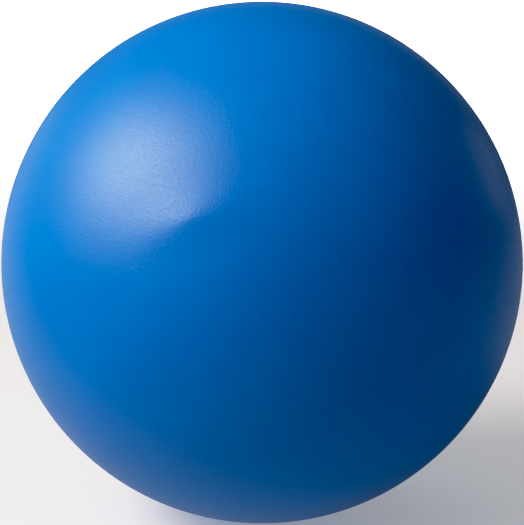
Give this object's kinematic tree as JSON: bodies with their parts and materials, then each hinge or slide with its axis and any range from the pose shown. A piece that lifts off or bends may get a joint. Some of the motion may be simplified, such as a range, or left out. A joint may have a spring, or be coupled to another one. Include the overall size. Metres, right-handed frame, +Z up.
{
  "type": "rubber ball",
  "caption": "Hollow air-filled rubber play ball: a bonded satin cover over an airtight bladder, filled through a flush valve that a push-in plug closes.",
  "frame": {"origin": "centre of the ball", "axes": "+Z up as pictured, +Y along the moulding axis from the centre out through the valve at the rear, so -Y faces the viewer and +X is to the right seen from the front"},
  "size_m": [0.16, 0.1595, 0.16],
  "materials": {
    "cover": "satin",
    "seam_strip": "matte",
    "bladder": "matte",
    "bladder_patch": "matte",
    "valve_bush": "matte",
    "valve_plug": "satin"
  },
  "bodies": {
    "ball": {"cover_front": "cover", "cover_rear": "cover", "cover_seam_strip": "seam_strip", "bladder_front": "bladder", "bladder_rear": "bladder", "bladder_seam_tape": "bladder_patch", "valve_bush": "valve_bush", "valve_patch": "bladder_patch"},
    "plug": {"valve_plug": "valve_plug"}
  },
  "joints": [
    {"name": "plug_pull", "type": "slide", "parent": "ball", "child": "plug", "axis": [0, 1, 0], "range_m": [0, 0.03]}
  ]
}
